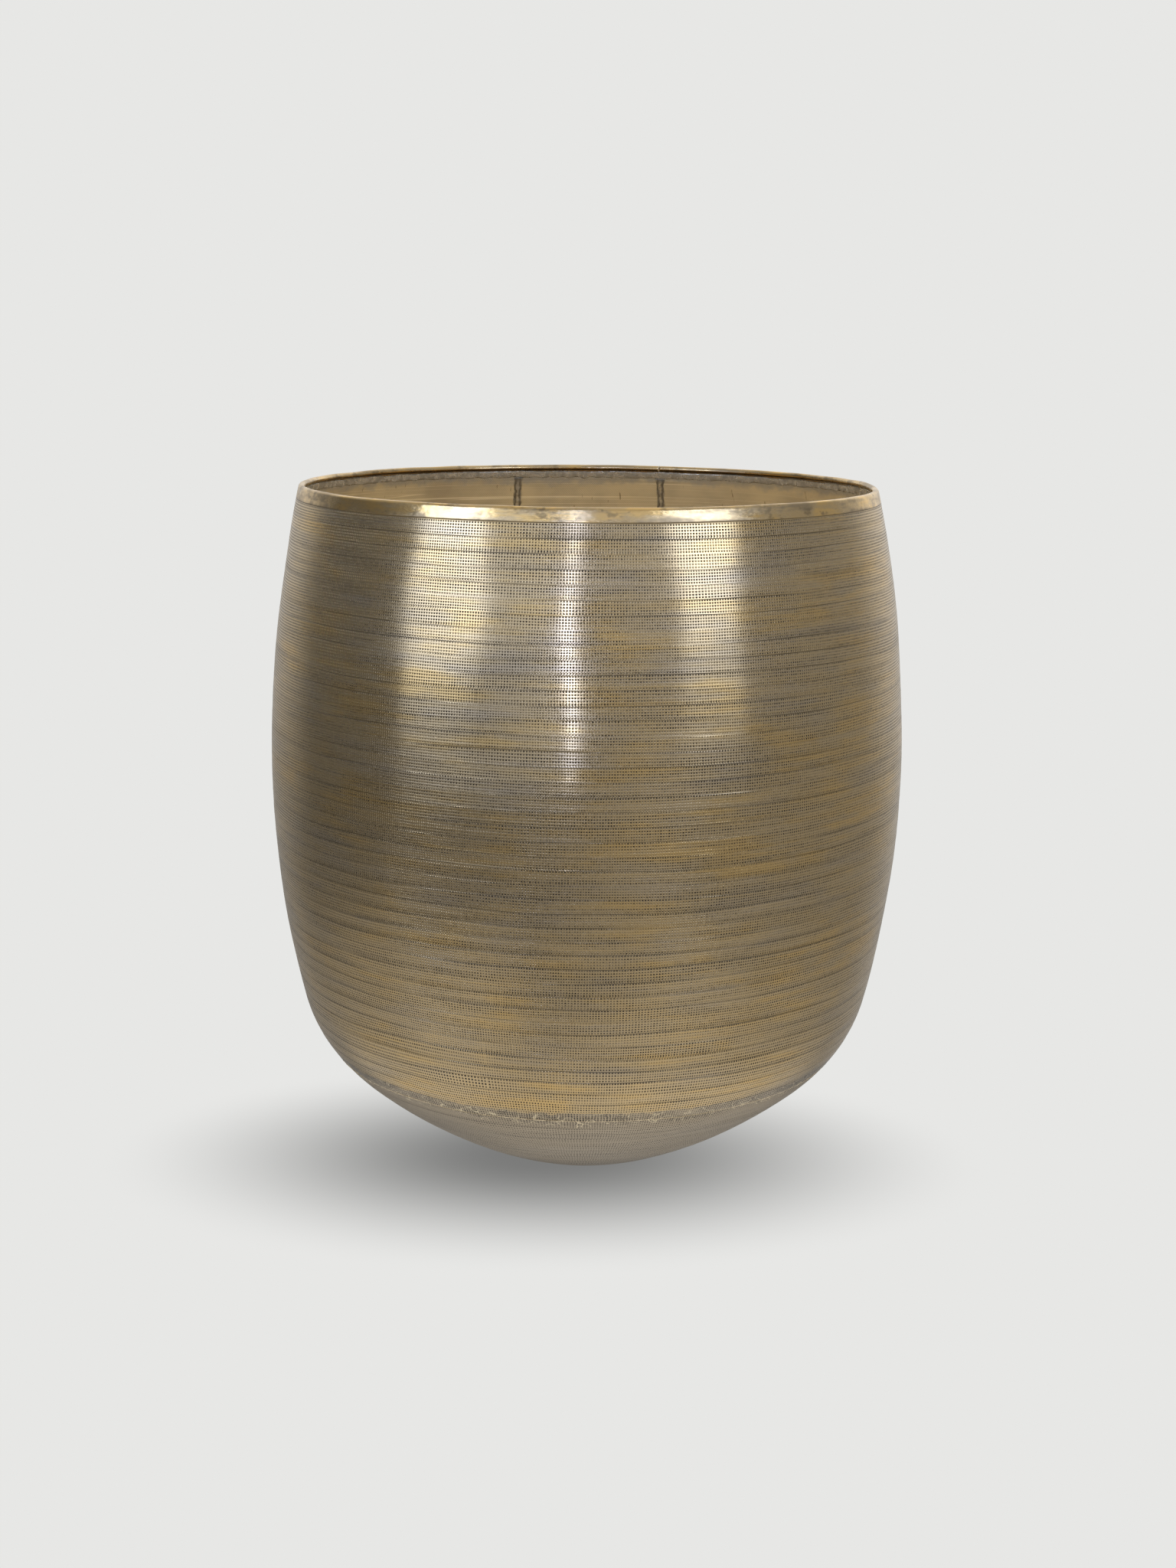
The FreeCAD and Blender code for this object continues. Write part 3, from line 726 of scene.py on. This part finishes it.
def make_rim():
    """Smooth band butted on the wall and wrapped over its wire, open at one butt joint."""
    joint = BACK - SEAM_HALF_ANGLE
    spare = with_spares(joint + RIM_GAP / 2, joint + TAU - RIM_GAP / 2, RIM_COLUMNS)
    centre_r, centre_z = ARCS[0][:2]
    leg = np.linspace(WALL_TOP_ANGLE, BEAD_ANGLE, 8)
    curl = np.linspace(BEAD_ANGLE, BEAD_ANGLE + math.radians(270), 30)
    arm = UPPER - BEAD_RADIUS
    bead_r, bead_z = centre_r + arm * math.cos(BEAD_ANGLE), centre_z + arm * math.sin(BEAD_ANGLE)
    section = []
    for centre_place, bead_place, turn in ((centre_r, bead_r, np.cos), (centre_z, bead_z, np.sin)):
        up_outside = centre_place + UPPER * turn(leg)
        over_bead = bead_place + BEAD_RADIUS * turn(curl[1:])
        back_round_wire = bead_place + BEAD_RADIUS / 2 * turn(curl[::-2])
        down_inside = centre_place + (UPPER - SHEET) * turn(leg[-2::-1])
        section.append(np.concatenate([up_outside, over_bead, back_round_wire, down_inside])[::-1, None])
    radius, height = section
    wave = dents.at(spare, (WALL_TOP - height) * np.ones(len(spare)))
    random = np.random.default_rng(23)
    lift = 0.10 * MM * ripple(random, spare, 3, 30) * np.clip((height - WALL_TOP) / (HEIGHT - WALL_TOP), 0, 1)
    loop = turned(spare, radius - wave * math.cos(BEAD_ANGLE), height - wave * math.sin(BEAD_ANGLE) + lift)
    add_piece(sweep("rim_band_wired", loop, (rim_brass,)), "rim_band")


def make_solder():
    """Lumpy run of solder inside, from under the bead to just below the joint of band and wall."""
    spare = with_spares(0.0, TAU, SOLDER_COLUMNS, closed=True)
    random = np.random.default_rng(31)
    top = SOLDER_TOP + 0.25 * MM * ripple(random, spare, 8, 60)
    low = SOLDER_LOW + 0.30 * MM * ripple(random, spare, 20, 160)
    thick = SOLDER_THICK + 0.05 * MM * ripple(random, spare, 10, 70)
    share = np.linspace(1, 0, 9)[:, None]
    face = top + (low - top) * share
    lump = 0.02 * MM * ripple(random, spare, 40, 160)
    depth = SHEET + (thick + lump) * np.sin(math.pi * np.clip(share, 0.04, 0.96)) ** 0.6
    loop = np.concatenate([sheet_offset(spare, np.stack([top, low]), SHEET - 0.1 * MM),
                           sheet_offset(spare, face, depth)])
    add_piece(sweep("rim_solder_run", loop, (solder,), closed=True), "rim_solder")


def make_seam(side, seed):
    """Braze of one upright seam: flush outside, a low uneven bead of it over the inside."""
    centre = BACK + side * SEAM_HALF_ANGLE
    along = with_spares(SEAM_BARE[0], LENGTH_TO_JOINT - SEAM_BARE[1], SEAM_ROWS)
    random = np.random.default_rng(seed)
    turn = along / along[-2] * TAU
    half = (SEAM_HALF_WIDTH + 0.30 * ripple(random, turn, 4, 60)) * MM
    thick = (SEAM_THICK + 0.07 * ripple(random, turn, 6, 90)) * MM
    proud = (SEAM_PROUD + 0.02 * ripple(random, turn, 5, 90)) * MM
    same = np.zeros_like(along)
    gap = SEAM_FILL + same
    inside, edge = SHEET + same, SHEET - 0.05 * MM + same
    section = [(-gap, -proud), (gap, -proud), (gap, inside), (half, edge)]
    for share in np.linspace(1, -1, 9)[1:-1]:
        section.append((half * share, SHEET + thick * (1 - share ** 4) * (0.8 + 0.2 * math.cos(share * 9))))
    section += [(-half, edge), (-gap, inside)]
    across, depth = (np.array(rows) for rows in zip(*section))
    rows = np.broadcast_to(along, across.shape)
    radius = outline(rows)[0]
    loop = sheet_offset(centre + across / radius, rows, depth)
    uv = np.stack([across / MM, rows], -1)
    name = "left" if side > 0 else "right"
    piece = sweep(f"seam_braze_{name}_run", loop, (seam_brass,), point_uv=uv)
    add_piece(piece, f"seam_braze_{name}")


make_wall()
make_bowl()
make_rim()
make_solder()
make_seam(1, 41)
make_seam(-1, 43)

for node, material in (("base_seam_braze", braze), ("rim_joint_braze", braze), ("rim_wire", wire_brass)):
    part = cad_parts[node]
    part.data.materials.clear()
    part.data.materials.append(material)

# --- floor, light and camera --------------------------------------------------------------------------

PALE = 0.799                 # radiance of floor and backdrop in the picture
PALE_TINT = (1, 1, 0.982, 1)
DOME = 2.0                   # brightness of the dome that lights dull metal
SHADOW_CENTRE = (-0.025, -0.037)
SHADOW_FLATTER = 1.6         # how much flatter the shadow is front to back than side to side
SHADOW_CORE = 0.020          # radius of its darkest part
SHADOW_EDGE = 0.290
SHADOW_DARK = 0.25           # its darkest tone, as a share of the floor's
FLOOR_RADIUS = 9.0

SOFTBOX_TINT = (0.84, 1.0, 1.40)
STRIP_TINT = (0.80, 1.0, 1.75)
# name, degrees round from the front to the right, width, lowest and highest edge, distance from the pot's
# axis, brightness at the lowest and at the highest edge, tint
SOFTBOXES = (
    ("softbox_left", -50.5, 0.84, 0.02, 1.22, 1.7, 0.35, 3.6, SOFTBOX_TINT),
    ("fill_left", -23.0, 0.85, 0.00, 1.10, 1.9, 0.28, 0.74, SOFTBOX_TINT),
    ("strip_front", -5.0, 0.115, 0.05, 0.75, 2.2, 3.5, 9.8, STRIP_TINT),
    ("strip_front_upper", -5.0, 0.115, 0.75, 1.50, 2.2, 5.0, 3.9, STRIP_TINT),
    ("fill_right", 14.0, 0.70, 0.30, 1.20, 2.0, 0.0, 0.3, SOFTBOX_TINT),
    ("softbox_right", 42.0, 0.76, 0.10, 1.32, 1.8, 0.2, 3.5, SOFTBOX_TINT),
)

CAMERA_PLACE = (0.001, -1.361, 0.5314)
CAMERA_LENS = 49.6
CAMERA_DOWN = math.radians(12.1)
CAMERA_ROLL = math.radians(0.5)


def make_floor():
    """Bright seamless floor, with the pot's soft shadow as a darker tone of it."""
    shader = Shader("floor")
    x, y, _ = shader.split(shader.place())
    x = shader.math("SUBTRACT", x, SHADOW_CENTRE[0])
    y = shader.math("MULTIPLY", shader.math("SUBTRACT", y, SHADOW_CENTRE[1]), SHADOW_FLATTER)
    squares = shader.math("ADD", shader.math("MULTIPLY", x, x), shader.math("MULTIPLY", y, y))
    light = shader.ramp(shader.math("SQRT", squares), SHADOW_CORE, SHADOW_EDGE, SHADOW_DARK * PALE, PALE)
    shader.put(shader.surface.inputs["Emission Strength"], light)
    shader.surface.inputs["Emission Color"].default_value = PALE_TINT
    shader.surface.inputs["Specular IOR Level"].default_value = 0.0
    material = shader.finish((0.0, 0.0, 0.0), 1.0, metallic=0.0)
    bpy.ops.mesh.primitive_circle_add(vertices=96, radius=FLOOR_RADIUS, fill_type="NGON")
    floor = bpy.context.object
    floor.name = "floor"
    floor.data.materials.append(material)
    floor.visible_glossy = False
    floor.visible_diffuse = False


def mirrored_level(shader):
    """Brightness of what bright metal mirrors, by direction: x to the right, y to the back, z up."""
    x, y, z = shader.split(shader.tree.nodes.new("ShaderNodeTexCoord").outputs["Generated"])
    behind = shader.math("MULTIPLY", shader.ramp(y, 0.42, 0.80), shader.ramp(z, -0.40, 0.20, 0.12, 0.80))
    above = shader.ramp(z, 0.45, 0.95, 0.0, 0.35)
    below = shader.ramp(z, -0.30, -0.98, 0.0, 0.60)
    low_left = shader.math("MULTIPLY", shader.ramp(x, -0.20, -0.62), shader.ramp(z, -0.18, -0.60, 0.0, 0.29))
    high_left = shader.math("MULTIPLY", shader.ramp(x, -0.20, -0.60), shader.ramp(z, 0.22, 0.50, 0.0, 0.16))
    front = shader.math("MULTIPLY", shader.ramp(y, -0.70, -0.88), shader.ramp(z, -0.45, -0.28, 0.0, 0.08))
    level = shader.ramp(x, -0.7, 0.5, 0.15, 0.39)
    for glow in (behind, above, below, low_left, high_left, front):
        level = shader.math("ADD", level, glow)
    under = shader.math("MULTIPLY", shader.ramp(y, 0.45, 0.80), shader.ramp(z, -0.35, -0.58))
    return shader.math("MULTIPLY", level, shader.math("SUBTRACT", 1.0, shader.math("MULTIPLY", under, 0.55)))


def make_world():
    """Backdrop like the floor for the camera, a white dome for dull metal, a studio for bright metal."""
    world = bpy.data.worlds.new("studio")
    bpy.context.scene.world = world
    world.use_nodes = True
    world.cycles.sampling_method = "NONE"
    tree = world.node_tree
    tree.nodes.clear()
    shader = Shader.on(tree)
    output = tree.nodes.new("ShaderNodeOutputWorld")
    mirrored = tree.nodes.new("ShaderNodeBackground")
    shader.put(mirrored.inputs["Strength"], mirrored_level(shader))
    plain = tree.nodes.new("ShaderNodeBackground")
    plain.inputs["Color"].default_value = PALE_TINT
    rays = tree.nodes.new("ShaderNodeLightPath")
    strength = shader.math("ADD", shader.math("MULTIPLY", rays.outputs["Is Camera Ray"], PALE - DOME), DOME)
    shader.put(plain.inputs["Strength"], strength)
    chosen = tree.nodes.new("ShaderNodeMixShader")
    shader.put(chosen.inputs[0], rays.outputs["Is Glossy Ray"])
    shader.put(chosen.inputs[1], plain.outputs[0])
    shader.put(chosen.inputs[2], mirrored.outputs[0])
    shader.put(output.inputs[0], chosen.outputs[0])


def softbox(name, azimuth, width, low, high, distance, dim, bright, tint):
    """Upright softbox that only the metal sees, its brightness changing with height."""
    light = bpy.data.lights.new(name, "AREA")
    light.shape = "RECTANGLE"
    light.size = width
    light.size_y = high - low
    light.energy = math.pi * light.size * light.size_y
    light.color = tint
    light.use_nodes = True
    shader = Shader.on(light.node_tree)
    emission = next(node for node in light.node_tree.nodes if node.type == "EMISSION")
    _, _, height = shader.split(light.node_tree.nodes.new("ShaderNodeNewGeometry").outputs["Position"])
    shader.put(emission.inputs["Strength"], shader.ramp(height, low, high, dim, bright))
    direction = Vector((math.sin(math.radians(azimuth)), -math.cos(math.radians(azimuth)), 0))
    box = bpy.data.objects.new(name, light)
    box.location = direction * distance + Vector((0, 0, (low + high) / 2))
    box.rotation_euler = direction.to_track_quat("Z", "Y").to_euler()
    box.visible_camera = False
    box.visible_diffuse = False
    bpy.context.scene.collection.objects.link(box)


def make_camera():
    """Looks from the front, a little above the rim, turned slightly in its mount."""
    camera = bpy.data.cameras.new("camera")
    camera.sensor_width = 36.0
    camera.lens = CAMERA_LENS
    camera.clip_end = 50.0
    seen_from = bpy.data.objects.new("camera", camera)
    tilt = Matrix.Rotation(math.pi / 2 - CAMERA_DOWN, 4, "X")
    seen_from.matrix_world = Matrix.Translation(CAMERA_PLACE) @ tilt @ Matrix.Rotation(CAMERA_ROLL, 4, "Z")
    bpy.context.scene.collection.objects.link(seen_from)
    bpy.context.scene.camera = seen_from


make_floor()
make_world()
for softbox_row in SOFTBOXES:
    softbox(*softbox_row)
make_camera()
bpy.context.scene.view_settings.view_transform = "Standard"
